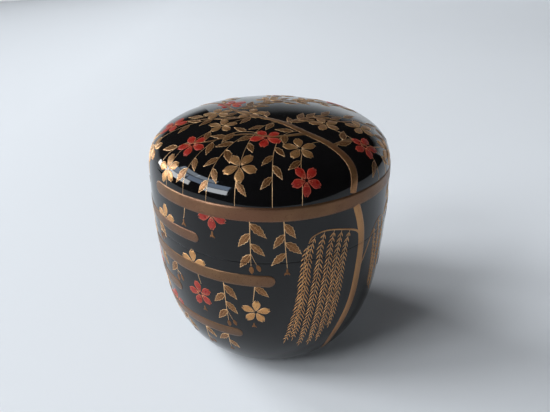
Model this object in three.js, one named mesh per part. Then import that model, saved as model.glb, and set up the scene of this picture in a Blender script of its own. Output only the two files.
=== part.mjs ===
// Round lacquered tea caddy: a turned wooden body with a standing collar and a
// lift-off lid, each coated inside and out. Millimetres, +Z up, origin at the
// middle of the foot's underside, front towards -Y.
import * as THREE from 'three';

// ---------------------------------------------------------------- dimensions
const SEGMENTS = 48;          // facets round the axis

const SEAM_Z = 41.9;          // shoulder of the body, where the lid sits
const SEAM_GAP = 0.1;         // hairline between lid rim and shoulder
const COAT_GAP = 0.03;        // bond line between a coat and the wood

const OUTER_COAT = 0.45;      // groundwork and lacquer on the outside
const INNER_COAT = 0.30;      // lacquer inside
const BASE_COAT = 0.40;       // lacquer on the underside

const COLLAR_TOP_Z = 51.4;    // top of the standing collar
const COLLAR_OUTER_R = 30.85; // over the lacquer
const COLLAR_INNER_R = 29.35; // over the lacquer
const LID_BORE_R = 31.0;      // over the lacquer: 0.15 running clearance

const FOOT_R = 19.8;          // outer edge of the foot ring
const FOOT_INNER_R = 17.4;    // inner edge of the foot ring
const RECESS_Z = 0.7;         // depth of the turned recess under the foot
const FLOOR_Z = 4.2;          // floor of the cavity, over the lacquer
const CEILING_Z = 65.7;       // crown of the lid's hollow, over the lacquer

// outer surface over the lacquer, [radius, height], foot to shoulder
const BODY_OUTER = [
  [FOOT_R, 0], [20.35, BASE_COAT], [22.05, 1.36], [24.36, 3.41], [26.32, 5.91],
  [28.01, 8.87], [29.44, 12.3], [30.6, 16.24], [31.47, 20.73], [32.09, 25.83],
  [32.54, 31.74], [32.84, 37.2], [32.96, SEAM_Z],
];
// lid, rim to crown
const LID_OUTER = [
  [32.96, SEAM_Z + SEAM_GAP], [33.0, 47.5], [32.84, 53.45], [32.47, 57.98],
  [31.76, 60.27], [30.69, 61.94], [29.23, 63.28], [27.39, 64.41], [23.9, 65.85],
  [18.3, 67.25], [11.6, 68.1], [4.5, 68.47], [0, 68.5],
];
// cavity of the body over the lacquer, floor to the collar's foot
const BODY_INNER = [
  [0, FLOOR_Z], [16.2, FLOOR_Z], [19.4, 4.75], [21.9, 6.2], [23.9, 8.4],
  [25.6, 11.4], [27.0, 15.4], [28.1, 20.4], [28.8, 26.2], [29.2, 32.5],
  [COLLAR_INNER_R, 39.0],
];
// hollow of the lid over the lacquer, end of the straight bore to the crown
const LID_INNER = [
  [LID_BORE_R, 52.6], [30.55, 55.6], [29.6, 58.4], [28.0, 60.7], [25.6, 62.4],
  [21.6, 63.8], [16.0, 64.85], [9.0, 65.5], [0, CEILING_Z],
];

// ------------------------------------------------------------------- helpers
// Moves an open polyline sideways by d (positive is to its left), mitred. An
// end on the axis stays on the axis; the other ends move square to the line.
function offset(line, d) {
  const out = [];
  const n = line.length;
  const dir = (a, b) => {
    const l = Math.hypot(b[0] - a[0], b[1] - a[1]);
    return [(b[0] - a[0]) / l, (b[1] - a[1]) / l];
  };
  for (let i = 0; i < n; i++) {
    const u = i > 0 ? dir(line[i - 1], line[i]) : dir(line[0], line[1]);
    const v = i < n - 1 ? dir(line[i], line[i + 1]) : u;
    let nx = -(u[1] + v[1]), ny = u[0] + v[0];
    const l = Math.hypot(nx, ny);
    nx /= l; ny /= l;
    const c = nx * -v[1] + ny * v[0];
    let r = line[i][0] + (nx * d) / c;
    let z = line[i][1] + (ny * d) / c;
    if (line[i][0] === 0) { r = 0; z = line[i][1] + d * Math.sign(v[0] || 1); }
    out.push([r, z]);
  }
  return out;
}

// the part of a line (running upward) at or above height z, with a cut point
function above(line, z) {
  const out = [];
  for (let i = 0; i < line.length; i++) {
    const [r, h] = line[i];
    if (i > 0 && line[i - 1][1] < z && h > z) {
      const t = (z - line[i - 1][1]) / (h - line[i - 1][1]);
      out.push([line[i - 1][0] + t * (r - line[i - 1][0]), z]);
    }
    if (h >= z) out.push([r, h]);
  }
  return out;
}
function below(line, z) {
  const out = [];
  for (let i = 0; i < line.length; i++) {
    const [r, h] = line[i];
    if (h <= z) out.push([r, h]);
    else {
      const t = (z - line[i - 1][1]) / (h - line[i - 1][1]);
      out.push([line[i - 1][0] + t * (r - line[i - 1][0]), z]);
      break;
    }
  }
  return out;
}

// Solid of revolution about +Z from a section that starts and ends on the axis
// or closes on itself. Every section is listed so that its faces point out.
function turned(name, section, material) {
  const pts = section.map(([r, z]) => new THREE.Vector2(r, z));
  if (section[0][0] !== 0) pts.push(pts[0].clone());
  let area = 0;
  for (let i = 0; i < section.length; i++) {
    const [a, b] = [section[i], section[(i + 1) % section.length]];
    area += a[0] * b[1] - b[0] * a[1];
  }
  if (area < 0) pts.reverse();
  const geometry = new THREE.LatheGeometry(pts, SEGMENTS);
  geometry.rotateX(Math.PI / 2);
  const mesh = new THREE.Mesh(geometry, material);
  mesh.name = name;
  return mesh;
}

// ----------------------------------------------------------------- materials
const lacquer = new THREE.MeshStandardMaterial({ color: 0x0a0a0c, roughness: 0.12, metalness: 0.0 });
const innerLacquer = new THREE.MeshStandardMaterial({ color: 0x0c0a0a, roughness: 0.2, metalness: 0.0 });
const wood = new THREE.MeshStandardMaterial({ color: 0x9a7148, roughness: 0.7, metalness: 0.0 });

// ---------------------------------------------------------------------- body
// wood: under the coats everywhere, with the collar turned in one piece
const bodyWoodOutside = offset(BODY_OUTER, OUTER_COAT + COAT_GAP);
const bodyWoodInside = offset(BODY_INNER, -(INNER_COAT + COAT_GAP));
const skin = INNER_COAT + COAT_GAP;
const woodBottomZ = BASE_COAT + COAT_GAP;

const bodyCore = turned('body_core', [
  [0, RECESS_Z + woodBottomZ],
  [FOOT_INNER_R, RECESS_Z + woodBottomZ],
  [FOOT_INNER_R + 0.35, woodBottomZ],
  ...above(bodyWoodOutside, woodBottomZ).filter((p) => p[1] < SEAM_Z - 1),
  [32.96 - OUTER_COAT - COAT_GAP, SEAM_Z - skin],
  [COLLAR_OUTER_R - skin, SEAM_Z - skin],
  [COLLAR_OUTER_R - skin, COLLAR_TOP_Z - skin],
  [COLLAR_INNER_R + skin, COLLAR_TOP_Z - skin],
  ...bodyWoodInside.slice().reverse(),
], wood);

// outer coat, from the foot to the edge of the shoulder
const coatFootZ = BASE_COAT + COAT_GAP;
const bodyCoatInside = offset(BODY_OUTER, OUTER_COAT);
const bodyOuterLacquer = turned('body_outer_lacquer', [
  ...above(BODY_OUTER, coatFootZ),
  [32.96 - OUTER_COAT, SEAM_Z],
  ...above(bodyCoatInside, coatFootZ).filter((p) => p[1] < SEAM_Z - 1).reverse(),
], lacquer);

// inner coat: cavity, over the collar, and out across the shoulder
const bodyLining = offset(BODY_INNER, -INNER_COAT);
const shoulderEdgeR = 32.96 - OUTER_COAT - COAT_GAP;
const bodyInnerLacquer = turned('body_inner_lacquer', [
  ...bodyLining,
  [COLLAR_INNER_R + INNER_COAT, COLLAR_TOP_Z - INNER_COAT],
  [COLLAR_OUTER_R - INNER_COAT, COLLAR_TOP_Z - INNER_COAT],
  [COLLAR_OUTER_R - INNER_COAT, SEAM_Z - INNER_COAT],
  [shoulderEdgeR, SEAM_Z - INNER_COAT],
  [shoulderEdgeR, SEAM_Z],
  [COLLAR_OUTER_R, SEAM_Z],
  [COLLAR_OUTER_R, COLLAR_TOP_Z - 0.2],
  [COLLAR_OUTER_R - 0.25, COLLAR_TOP_Z],
  [COLLAR_INNER_R + 0.25, COLLAR_TOP_Z],
  [COLLAR_INNER_R, COLLAR_TOP_Z - 0.2],
  ...BODY_INNER.slice().reverse(),
], innerLacquer);

// coat on the underside: foot ring and the shallow recess inside it
const footEdge = below(BODY_OUTER, BASE_COAT);
const baseLacquer = turned('base_lacquer', [
  [0, RECESS_Z],
  [FOOT_INNER_R - 0.35, RECESS_Z],
  [FOOT_INNER_R, 0],
  ...footEdge,
  [FOOT_INNER_R + 0.3, BASE_COAT],
  [FOOT_INNER_R - 0.05, RECESS_Z + BASE_COAT],
  [0, RECESS_Z + BASE_COAT],
], lacquer);

const body = new THREE.Group();
body.add(bodyCore, bodyOuterLacquer, bodyInnerLacquer, baseLacquer);

// ----------------------------------------------------------------------- lid
const lidRimZ = SEAM_Z + SEAM_GAP;
const lidEdgeR = 32.96 - OUTER_COAT - COAT_GAP;
const lidWoodOutside = offset(LID_OUTER, OUTER_COAT + COAT_GAP);
const lidWoodInside = offset(LID_INNER, -(INNER_COAT + COAT_GAP));

const lidCore = turned('lid_core', [
  [LID_BORE_R + skin, lidRimZ + skin],
  [lidEdgeR, lidRimZ + skin],
  ...lidWoodOutside.slice(1),
  ...lidWoodInside.slice().reverse(),
], wood);

const lidOuterLacquer = turned('lid_outer_lacquer', [
  [32.96 - OUTER_COAT, lidRimZ],
  ...LID_OUTER,
  ...offset(LID_OUTER, OUTER_COAT).slice(1).reverse(),
], lacquer);

const lidInnerLacquer = turned('lid_inner_lacquer', [
  [0, CEILING_Z],
  ...LID_INNER.slice(0, -1).reverse(),
  [LID_BORE_R, lidRimZ + 0.2],
  [LID_BORE_R + 0.2, lidRimZ],
  [lidEdgeR, lidRimZ],
  [lidEdgeR, lidRimZ + INNER_COAT],
  [LID_BORE_R + INNER_COAT, lidRimZ + INNER_COAT],
  ...offset(LID_INNER, -INNER_COAT),
], innerLacquer);

const lid = new THREE.Group();
lid.add(lidCore, lidOuterLacquer, lidInnerLacquer);

// ------------------------------------------------------------------ assembly
const group = new THREE.Group();
group.add(body, lid);

export default group;
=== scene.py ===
"""Round lacquered tea caddy: the finished look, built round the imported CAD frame."""
import math
import random

import bmesh
import bpy
import numpy as np
from mathutils import Matrix, Vector


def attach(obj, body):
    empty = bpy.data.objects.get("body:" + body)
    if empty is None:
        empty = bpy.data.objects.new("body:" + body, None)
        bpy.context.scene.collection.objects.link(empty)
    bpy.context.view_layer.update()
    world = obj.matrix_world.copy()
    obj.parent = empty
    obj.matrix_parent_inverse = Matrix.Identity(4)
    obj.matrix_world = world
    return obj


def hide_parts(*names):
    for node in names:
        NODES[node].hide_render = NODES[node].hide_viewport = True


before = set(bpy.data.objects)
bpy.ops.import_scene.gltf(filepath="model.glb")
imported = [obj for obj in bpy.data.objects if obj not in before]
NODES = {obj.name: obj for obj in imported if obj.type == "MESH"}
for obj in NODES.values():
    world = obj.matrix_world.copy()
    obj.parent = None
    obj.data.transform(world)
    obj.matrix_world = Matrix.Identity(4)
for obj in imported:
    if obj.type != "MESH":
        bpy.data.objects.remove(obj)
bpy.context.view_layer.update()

MM = 0.001
TAU = 2 * math.pi

# ------------------------------------------------------------------ the form
# Outside of the lacquer from crown to foot, [radius, height] in mm.
PROFILE = np.array([
    [0.0, 68.5308], [1.9984, 68.5274], [3.9966, 68.504], [5.9942, 68.4515], [7.9908, 68.3673],
    [9.9856, 68.2484], [11.9777, 68.0909], [13.9658, 67.8892], [15.948, 67.636], [17.9216, 67.3225],
    [19.8824, 66.9376], [21.8248, 66.4685], [23.7405, 65.9006], [24.6845, 65.573], [25.6158, 65.2112],
    [26.5307, 64.8098], [27.4239, 64.3621], [28.2876, 63.86], [29.1108, 63.294], [29.8784, 62.6548],
    [30.5718, 61.9361], [31.172, 61.1378], [31.6646, 60.2691], [32.0462, 59.346], [32.3255, 58.3868],
    [32.5205, 57.4069], [32.652, 56.4162], [32.7397, 55.4207], [32.7992, 54.423], [32.8422, 53.4245],
    [32.8761, 52.4257], [32.9047, 51.4266], [32.9296, 50.4275], [32.9709, 48.4291], [32.9985, 46.4304],
    [33.0039, 44.4315], [32.9819, 42.4327], [32.9355, 40.4344], [32.8693, 38.4366], [32.7875, 36.4394],
    [32.6937, 34.4427], [32.5878, 32.4467], [32.4665, 30.4515], [32.3251, 28.4576], [32.1586, 26.4657],
    [31.9613, 24.4766], [31.7251, 22.4918], [31.4402, 20.5134], [31.0955, 18.5445], [30.679, 16.5897],
    [30.1785, 14.6547], [29.5844, 12.7464], [28.8884, 10.873], [28.0804, 9.0452], [27.1485, 7.2774],
    [26.0789, 5.5897], [24.8567, 4.0093], [23.4712, 2.5703], [21.923, 1.3086], [19.7662, 0.0283]])
INSET = 0.12          # lacquer lies this far inside the CAD skin, and the decoration rises back to it
SEAM_Z = 41.95        # middle of the hairline between lid and body
RIM_GAP = 0.07        # width of the hairline


def cubic(t, y):
    """Natural cubic spline through (t, y); returns a function."""
    t, y = np.asarray(t, float), np.asarray(y, float)
    n = len(t)
    h = np.diff(t)
    a = np.zeros((n, n)); b = np.zeros((n,) + y.shape[1:])
    a[0, 0] = a[-1, -1] = 1
    for i in range(1, n - 1):
        a[i, i - 1], a[i, i], a[i, i + 1] = h[i - 1], 2 * (h[i - 1] + h[i]), h[i]
        b[i] = 6 * ((y[i + 1] - y[i]) / h[i] - (y[i] - y[i - 1]) / h[i - 1])
    m = np.linalg.solve(a, b)

    def f(q):
        q = np.asarray(q, float)
        i = np.clip(np.searchsorted(t, q) - 1, 0, n - 2)
        d0, d1, hh = q - t[i], t[i + 1] - q, h[i]
        if y.ndim > 1:
            d0, d1, hh = d0[..., None], d1[..., None], hh[..., None]
        return (m[i] * d1 ** 3 + m[i + 1] * d0 ** 3) / (6 * hh) + (y[i] / hh - m[i] * hh / 6) * d1 + (y[i + 1] / hh - m[i + 1] * hh / 6) * d0
    return f


_mir = np.concatenate([PROFILE[::-1][:-1] * [-1, 1], PROFILE])
_len = np.concatenate([[0], np.cumsum(np.hypot(*np.diff(_mir, axis=0).T))])
_len -= _len[len(PROFILE) - 1]
_pf = cubic(_len, _mir)
_u = np.linspace(0, _len[-1], 6001)
_rz = _pf(_u)
_g = np.gradient(_rz, _u, axis=0)
_g /= np.linalg.norm(_g, axis=1)[:, None]
_nrm = np.stack([-_g[:, 1], _g[:, 0]], 1)           # outward for a line running crown to foot
_nrm[0] = (0, 1)
_rz = _rz - _nrm * INSET
_rz[0, 0] = 0
ARC = np.concatenate([[0], np.cumsum(np.hypot(*np.diff(_rz, axis=0).T))])
FOOT_S = float(ARC[-1])


def prof(s):
    """Radius, height and the normal's two parts at arc length s from the crown, mm."""
    return (np.interp(s, ARC, _rz[:, 0]), np.interp(s, ARC, _rz[:, 1]),
            np.interp(s, ARC, _nrm[:, 0]), np.interp(s, ARC, _nrm[:, 1]))


def s_at_z(z):
    return float(np.interp(-z, -_rz[:, 1], ARC))


def surf(phi, s, h):
    """Points h mm off the lacquer. phi is 0 at the front (-Y) and grows towards +X."""
    r, z, nr, nz = prof(s)
    r, z = r + nr * h, z + nz * h
    return np.stack([r * np.sin(phi), -r * np.cos(phi), z], -1)


S_RIM = s_at_z(SEAM_Z + RIM_GAP / 2)
S_SHOULDER = s_at_z(SEAM_Z - RIM_GAP / 2)
SIDE_R = 33.0


def chart(kind, x, y):
    """Drawing plane to (phi, s). 'top': polar about the crown, x right and y back. 'side': x round the wall, y down the wall."""
    if kind == "top":
        return np.arctan2(x, -y), np.hypot(x, y)
    return x / SIDE_R, y


# ------------------------------------------------------------ small geometry
def link(name, verts, faces, body, mat, smooth=True, tone=None, replaces=None):
    me = bpy.data.meshes.new(name)
    me.from_pydata([tuple(v) for v in np.asarray(verts) * MM], [], faces)
    if tone is not None:
        a = me.attributes.new("tone", "FLOAT", "POINT")
        a.data.foreach_set("value", np.asarray(tone, np.float32))
    me.update()
    ob = bpy.data.objects.new(name, me)
    bpy.context.scene.collection.objects.link(ob)
    ob.data.materials.append(mat)
    if smooth:
        me.polygons.foreach_set("use_smooth", [True] * len(me.polygons))
    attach(ob, body)
    if replaces:
        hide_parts(replaces)
    return ob


def lathe(section, segs=256):
    """Closed solid of revolution from a section that starts and ends on the axis or closes on itself (last point not repeated)."""
    sec = np.asarray(section, float)
    area = np.sum(sec[:, 0] * np.roll(sec[:, 1], -1) - np.roll(sec[:, 0], -1) * sec[:, 1])
    if area < 0:
        sec = sec[::-1]
    on_axis = sec[:, 0] < 1e-9
    verts, rings = [], []
    ang = np.arange(segs) / segs * TAU
    for (r, z), ax in zip(sec, on_axis):
        if ax:
            rings.append([len(verts)])
            verts.append((0, 0, z))
        else:
            rings.append(list(range(len(verts), len(verts) + segs)))
            verts += [(r * math.sin(a), -r * math.cos(a), z) for a in ang]
    faces = []
    n = len(sec)
    closed = not (on_axis[0] and on_axis[-1])
    for i in range(n if closed else n - 1):
        a, b = rings[i], rings[(i + 1) % n]
        if len(a) == 1 and len(b) == 1:
            continue
        for k in range(segs):
            j = (k + 1) % segs
            if len(a) == 1:
                faces.append((a[0], b[j], b[k]))
            elif len(b) == 1:
                faces.append((a[k], a[j], b[0]))
            else:
                faces.append((a[k], a[j], b[j], b[k]))
    return verts, faces


def fillet(line, radius, steps=4):
    """Rounds the inner corners of an open (r, z) line; radius is one number or one per point."""
    out = [line[0]]
    rad = radius if hasattr(radius, "__len__") else [radius] * len(line)
    for i in range(1, len(line) - 1):
        p, q, w = (np.array(line[k], float) for k in (i - 1, i, i + 1))
        d = min(rad[i], 0.45 * np.linalg.norm(q - p), 0.45 * np.linalg.norm(w - q))
        if d <= 0:
            out.append(tuple(q)); continue
        a = q + (p - q) / np.linalg.norm(p - q) * d
        b = q + (w - q) / np.linalg.norm(w - q) * d
        for t in np.linspace(0, 1, steps + 1):
            out.append(tuple((1 - t) ** 2 * a + 2 * t * (1 - t) * q + t * t * b))
    out.append(line[-1])
    return out


# ----------------------------------------------------------------- materials
def node_mat(name):
    m = bpy.data.materials.new(name)
    m.use_nodes = True
    nt = m.node_tree
    return m, nt, nt.nodes["Principled BSDF"]


def add(nt, kind, **kw):
    n = nt.nodes.new(kind)
    for k, v in kw.items():
        if k.startswith("_"):
            setattr(n, k[1:], v)
        else:
            n.inputs[k.replace("_", " ") if k.replace("_", " ") in n.inputs else k].default_value = v
    return n


def noise(nt, coord, scale, detail=3.0, rough=0.5, stretch=None):
    t = add(nt, "ShaderNodeTexNoise")
    t.inputs["Scale"].default_value = scale
    t.inputs["Detail"].default_value = detail
    t.inputs["Roughness"].default_value = rough
    src = coord.outputs["Object"]
    if stretch:
        mp = add(nt, "ShaderNodeMapping")
        mp.inputs["Scale"].default_value = stretch
        nt.links.new(src, mp.inputs["Vector"])
        src = mp.outputs["Vector"]
    nt.links.new(src, t.inputs["Vector"])
    return t


def ramp(nt, src, stops):
    r = add(nt, "ShaderNodeValToRGB")
    el = r.color_ramp.elements
    while len(el) < len(stops):
        el.new(0.5)
    for e, (p, c) in zip(el, stops):
        e.position = p
        e.color = (c, c, c, 1) if not hasattr(c, "__len__") else tuple(c) + (1,)
    nt.links.new(src, r.inputs["Fac"])
    return r


def mix_rgb(nt, fac, a, b):
    m = add(nt, "ShaderNodeMix", _data_type="RGBA")
    for sock, v in ((m.inputs["Factor"], fac), (m.inputs["A"], a), (m.inputs["B"], b)):
        if isinstance(v, bpy.types.NodeSocket):
            nt.links.new(v, sock)
        elif hasattr(v, "__len__"):
            sock.default_value = tuple(v) + (1,)
        else:
            sock.default_value = v
    return m.outputs["Result"]


def math_node(nt, op, a, b=0.0, clamp=False):
    m = add(nt, "ShaderNodeMath", _operation=op, _use_clamp=clamp)
    for i, v in enumerate((a, b)):
        if isinstance(v, bpy.types.NodeSocket):
            nt.links.new(v, m.inputs[i])
        else:
            m.inputs[i].default_value = v
    return m.outputs[0]


def mat_lacquer(name, base, rough_lo, rough_hi, ior, tint):
    """Polished urushi: near black, mirror smooth, with hand-polished haze and a few specks."""
    m, nt, b = node_mat(name)
    co = add(nt, "ShaderNodeTexCoord")
    haze = noise(nt, co, 55, 4, 0.55)
    fine = noise(nt, co, 900, 2, 0.5)
    speck = add(nt, "ShaderNodeTexVoronoi")
    speck.inputs["Scale"].default_value = 420
    nt.links.new(co.outputs["Object"], speck.inputs["Vector"])
    dots = ramp(nt, speck.outputs["Distance"], [(0.0, 1.0), (0.045, 0.0)])
    rr = ramp(nt, haze.outputs["Fac"], [(0.35, rough_lo), (0.7, rough_hi)])
    rough = math_node(nt, "ADD", rr.outputs["Color"], math_node(nt, "MULTIPLY", dots.outputs["Color"], 0.12), True)
    nt.links.new(rough, b.inputs["Roughness"])
    col = mix_rgb(nt, ramp(nt, haze.outputs["Fac"], [(0.3, 0.0), (0.75, 1.0)]).outputs["Color"], base, tint)
    nt.links.new(col, b.inputs["Base Color"])
    b.inputs["IOR"].default_value = ior
    bump = add(nt, "ShaderNodeBump")
    bump.inputs["Strength"].default_value = 0.05
    bump.inputs["Distance"].default_value = 0.00002
    nt.links.new(math_node(nt, "ADD", haze.outputs["Fac"], math_node(nt, "MULTIPLY", fine.outputs["Fac"], 0.1)), bump.inputs["Height"])
    nt.links.new(bump.outputs["Normal"], b.inputs["Normal"])
    return m


def mat_powder(name, bright, dull, metallic, rough, grain=5200.0, under=(0.03, 0.018, 0.012), cover=(0.30, 0.62), streak=None, blush=None):
    """Sprinkled metal powder over lacquer: grains of two tones with the ground showing between them. The mesh's tone
    says how densely it was sprinkled; on the crown's gold petals it is set lower, which paints shade on the top.
    """
    m, nt, b = node_mat(name)
    co = add(nt, "ShaderNodeTexCoord")
    at = add(nt, "ShaderNodeAttribute", _attribute_name="tone")
    grains = noise(nt, co, grain, 2, 0.6)
    cloud = noise(nt, co, 260, 4, 0.55, streak)
    patch = noise(nt, co, 70, 3, 0.5)
    k = ramp(nt, cloud.outputs["Fac"], [(0.3, 0.0), (0.7, 1.0)])
    gold = mix_rgb(nt, k.outputs["Color"], dull, bright)
    if blush:
        drift = noise(nt, co, 38, 3, 0.5)
        gold = mix_rgb(nt, ramp(nt, drift.outputs["Fac"], [(0.50, 0.0), (0.80, 1.0)]).outputs["Color"], gold, blush)
    # density: tone, less a little in patches, against the grain pattern
    dens = math_node(nt, "ADD", at.outputs["Fac"], math_node(nt, "MULTIPLY", math_node(nt, "SUBTRACT", patch.outputs["Fac"], 0.5), 0.5))
    hit = math_node(nt, "ADD", dens, math_node(nt, "SUBTRACT", grains.outputs["Fac"], 0.5))
    cov = ramp(nt, hit, [(cover[0], 0.0), (cover[1], 1.0)])
    col = mix_rgb(nt, cov.outputs["Color"], under, gold)
    nt.links.new(col, b.inputs["Base Color"])
    nt.links.new(math_node(nt, "MULTIPLY", cov.outputs["Color"], metallic), b.inputs["Metallic"])
    rr = ramp(nt, grains.outputs["Fac"], [(0.3, max(0.05, rough - 0.12)), (0.7, min(1, rough + 0.12))])
    nt.links.new(rr.outputs["Color"], b.inputs["Roughness"])
    bump = add(nt, "ShaderNodeBump")
    bump.inputs["Strength"].default_value = 0.35
    bump.inputs["Distance"].default_value = 0.00003
    nt.links.new(grains.outputs["Fac"], bump.inputs["Height"])
    nt.links.new(bump.outputs["Normal"], b.inputs["Normal"])
    return m


def mat_red(name, deep, light):
    """Coloured lacquer, a little worn and brushed along the petals, with stray gold grains."""
    m, nt, b = node_mat(name)
    co = add(nt, "ShaderNodeTexCoord")
    at = add(nt, "ShaderNodeAttribute", _attribute_name="tone")
    cloud = noise(nt, co, 420, 4, 0.6)
    grains = noise(nt, co, 4200, 2, 0.6)
    k = math_node(nt, "ADD", math_node(nt, "MULTIPLY", at.outputs["Fac"], 0.7), math_node(nt, "MULTIPLY", math_node(nt, "SUBTRACT", cloud.outputs["Fac"], 0.4), 0.9), True)
    col = mix_rgb(nt, k, deep, light)
    spark = ramp(nt, grains.outputs["Fac"], [(0.66, 0.0), (0.74, 1.0)])
    col = mix_rgb(nt, spark.outputs["Color"], col, (0.62, 0.30, 0.12))
    nt.links.new(col, b.inputs["Base Color"])
    rr = ramp(nt, cloud.outputs["Fac"], [(0.3, 0.24), (0.7, 0.42)])
    nt.links.new(rr.outputs["Color"], b.inputs["Roughness"])
    b.inputs["IOR"].default_value = 1.36
    nt.links.new(math_node(nt, "MULTIPLY", spark.outputs["Color"], 0.7), b.inputs["Metallic"])
    bump = add(nt, "ShaderNodeBump")
    bump.inputs["Strength"].default_value = 0.25
    bump.inputs["Distance"].default_value = 0.00003
    nt.links.new(cloud.outputs["Fac"], bump.inputs["Height"])
    nt.links.new(bump.outputs["Normal"], b.inputs["Normal"])
    return m


def mat_wood(name):
    m, nt, b = node_mat(name)
    co = add(nt, "ShaderNodeTexCoord")
    g = noise(nt, co, 240, 5, 0.6, (6, 6, 0.35))
    fine = noise(nt, co, 2600, 2, 0.5, (3, 3, 0.2))
    col = mix_rgb(nt, ramp(nt, g.outputs["Fac"], [(0.35, 0.0), (0.65, 1.0)]).outputs["Color"], (0.26, 0.14, 0.065), (0.46, 0.29, 0.15))
    nt.links.new(col, b.inputs["Base Color"])
    nt.links.new(ramp(nt, fine.outputs["Fac"], [(0.3, 0.55), (0.7, 0.8)]).outputs["Color"], b.inputs["Roughness"])
    bump = add(nt, "ShaderNodeBump")
    bump.inputs["Strength"].default_value = 0.4
    bump.inputs["Distance"].default_value = 0.00005
    nt.links.new(fine.outputs["Fac"], bump.inputs["Height"])
    nt.links.new(bump.outputs["Normal"], b.inputs["Normal"])
    return m


LACQUER = mat_lacquer("black_lacquer", (0.0028, 0.0027, 0.0030), 0.035, 0.085, 1.40, (0.0054, 0.0050, 0.0054))
INNER = mat_lacquer("inner_lacquer", (0.006, 0.005, 0.005), 0.12, 0.22, 1.5, (0.011, 0.008, 0.007))
GOLD = mat_powder("bright_gold_powder", (0.654, 0.344, 0.133), (0.447, 0.211, 0.0774), 0.84, 0.36)
LEAF = mat_powder("brown_gold_leaf", (0.245, 0.107, 0.036), (0.144, 0.059, 0.0202), 0.70, 0.42, cover=(0.12, 0.42))
LINE = mat_powder("fine_gold_line", (0.88, 0.563, 0.29), (0.774, 0.449, 0.211), 0.72, 0.36, cover=(0.05, 0.3))
PALE = mat_powder("thin_gold_powder", (0.189, 0.1, 0.0476), (0.128, 0.0646, 0.0306), 0.72, 0.36, under=(0.03, 0.018, 0.012), cover=(0.22, 0.56), blush=(0.165, 0.072, 0.042))
BRANCH = mat_powder("brown_gold_powder", (0.48, 0.26, 0.112), (0.304, 0.148, 0.0608), 0.82, 0.36, streak=(1, 1, 0.25), blush=(0.40, 0.17, 0.08))
RED = mat_red("red_lacquer", (0.20, 0.010, 0.007), (0.42, 0.036, 0.022))
RED_EDGE = mat_red("red_lacquer_edge", (0.50, 0.075, 0.045), (0.68, 0.18, 0.10))
WOOD = mat_wood("turned_wood")

# -------------------------------------------------------------------- shells
COAT = 0.34


def outer_line(s0, s1, step=0.8):
    n = max(2, int((s1 - s0) / step))
    s = np.linspace(s0, s1, n + 1)
    r, z, nr, nz = prof(s)
    return np.stack([r, z], 1), np.stack([r - nr * COAT, z - nz * COAT], 1)


# lid, outside coat
out, inn = outer_line(0, S_RIM)
out[0, 0] = inn[0, 0] = 0
zr = SEAM_Z + RIM_GAP / 2
edge = [tuple(p) for p in out[:-1]] + fillet([tuple(out[-2]), (out[-1][0], zr), (out[-1][0] - COAT, zr), tuple(inn[-2])], 0.07)[1:-1]
sec = edge + [tuple(p) for p in inn[::-1][1:]]
v, f = lathe(sec)
lid_shell = link("lid_shell", v, f, "lid", LACQUER, replaces="lid_outer_lacquer")

# body, outside coat, down to the foot's edge
S_FOOTCOAT = s_at_z(0.42)
out, inn = outer_line(S_SHOULDER, S_FOOTCOAT)
zs = SEAM_Z - RIM_GAP / 2
top = fillet([tuple(inn[1]), (out[0][0] - COAT, zs), (out[0][0], zs), tuple(out[1])], 0.07)[1:-1]
sec = top + [tuple(p) for p in out[1:]] + [tuple(p) for p in inn[::-1][:-1]]
v, f = lathe(sec)
body_shell = link("body_shell", v, f, "body", LACQUER, replaces="body_outer_lacquer")

# body lining: cavity, over the collar, out across the shoulder
CAVITY = cubic([0, 1, 2, 3, 4, 5, 6, 7, 8, 9, 10], [[0, 4.22], [8, 4.2], [16.2, 4.22], [19.4, 4.8], [21.9, 6.25], [23.9, 8.45], [25.6, 11.45],
               [27.0, 15.45], [28.1, 20.4], [28.8, 26.2], [29.2, 32.5]])
cav = [tuple(p) for p in CAVITY(np.linspace(0, 10, 61))]
cav[0] = (0.0, cav[0][1])
LIN = 0.24
collar = fillet([cav[-1], (29.37, 39.0), (29.38, 51.36), (30.82, 51.36), (30.82, zs), (out[0][0] - COAT - 0.03, zs), (out[0][0] - COAT - 0.03, zs - LIN)],
                [0, 2.0, 0.42, 0.42, 0.12, 0.05, 0], 5)
back = [(30.82 - LIN, zs - LIN), (30.82 - LIN, 51.36 - LIN), (29.38 + LIN, 51.36 - LIN), (29.38 + LIN, 39.0)]
cav_arr = np.array(cav)
d = np.gradient(cav_arr, axis=0); d /= np.linalg.norm(d, axis=1)[:, None]
cav_back = cav_arr + np.stack([d[:, 1], -d[:, 0]], 1) * LIN
cav_back[0] = (0, cav_arr[0, 1] - LIN)
sec = cav + [tuple(map(float, p)) for p in collar[1:]] + back + [tuple(p) for p in cav_back[::-1]]
v, f = lathe(sec, 192)
body_lining = link("body_lining", v, f, "body", INNER, replaces="body_inner_lacquer")

# lid lining: crown of the hollow, straight bore, rim
HOL = cubic([0, 1, 2, 3, 4, 5, 6, 7, 8, 9], [[0, 65.7], [5, 65.64], [9.0, 65.5], [16.0, 64.85], [21.6, 63.75], [25.6, 62.35], [28.0, 60.65], [29.6, 58.35],
            [30.55, 55.55], [30.98, 52.4]])
hol = np.array(HOL(np.linspace(0, 9, 61))); hol[0, 0] = 0
d = np.gradient(hol, axis=0); d /= np.linalg.norm(d, axis=1)[:, None]
hol_back = hol + np.stack([-d[:, 1], d[:, 0]], 1) * LIN
hol_back[0] = (0, hol[0, 1] + LIN)
lid_edge_r = float(np.interp(S_RIM, ARC, _rz[:, 0])) - COAT - 0.03
rim = fillet([tuple(hol[-1]), (31.0, 50.0), (31.02, zr), (lid_edge_r, zr), (lid_edge_r, zr + LIN)], [0, 1.0, 0.3, 0.06, 0], 5)
sec = [tuple(p) for p in hol] + [tuple(map(float, p)) for p in rim[1:]] + [(31.02 + LIN, zr + LIN), (31.0 + LIN, 50.0)] + [tuple(p) for p in hol_back[::-1]]
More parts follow.
